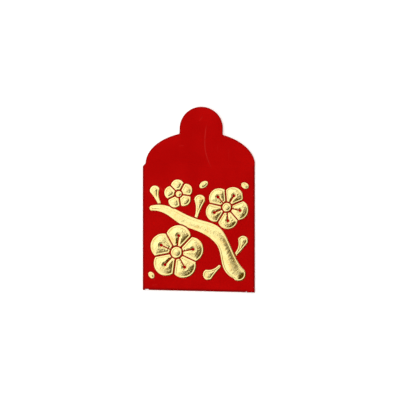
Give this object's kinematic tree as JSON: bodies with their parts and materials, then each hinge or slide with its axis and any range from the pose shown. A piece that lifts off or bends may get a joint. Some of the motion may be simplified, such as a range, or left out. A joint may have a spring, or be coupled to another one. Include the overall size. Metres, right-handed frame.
{
  "type": "red gift envelope",
  "caption": "Small folded paper gift envelope with an embossed gold foil blossom branch on its front and a round-tabbed top flap that folds over the back.",
  "frame": {"origin": "middle of the back panel's outer face, on the surface the envelope lies on", "axes": "+X across the pocket to the right of someone who faces the front with the flap up, +Y along the pocket from the bottom fold to the flap, +Z out of the front"},
  "size_m": [0.0719, 0.1151, 0.0019],
  "materials": {
    "red_paper": "satin",
    "gold_foil": "gloss",
    "dried_glue": "matte"
  },
  "bodies": {
    "pocket": {"front_panel": "red_paper", "left_side_fold": "red_paper", "right_side_fold": "red_paper", "left_side_flap": "red_paper", "right_side_flap": "red_paper", "bottom_fold": "red_paper", "back_panel": "red_paper", "left_glue_strip": "dried_glue", "right_glue_strip": "dried_glue", "foil_branch": "gold_foil", "foil_large_petals": "gold_foil", "foil_large_heart": "gold_foil", "foil_medium_petals": "gold_foil", "foil_medium_heart": "gold_foil", "foil_small_petals": "gold_foil", "foil_small_heart": "gold_foil", "foil_buds": "gold_foil", "foil_fallen_petals": "gold_foil"},
    "flap": {"top_flap": "red_paper"}
  },
  "joints": [
    {"name": "flap_crease", "type": "hinge", "parent": "pocket", "child": "flap", "pos_m": [0, 0.0395, 0.00045], "axis": [-1, 0, 0], "range_deg": [0, 179]}
  ]
}
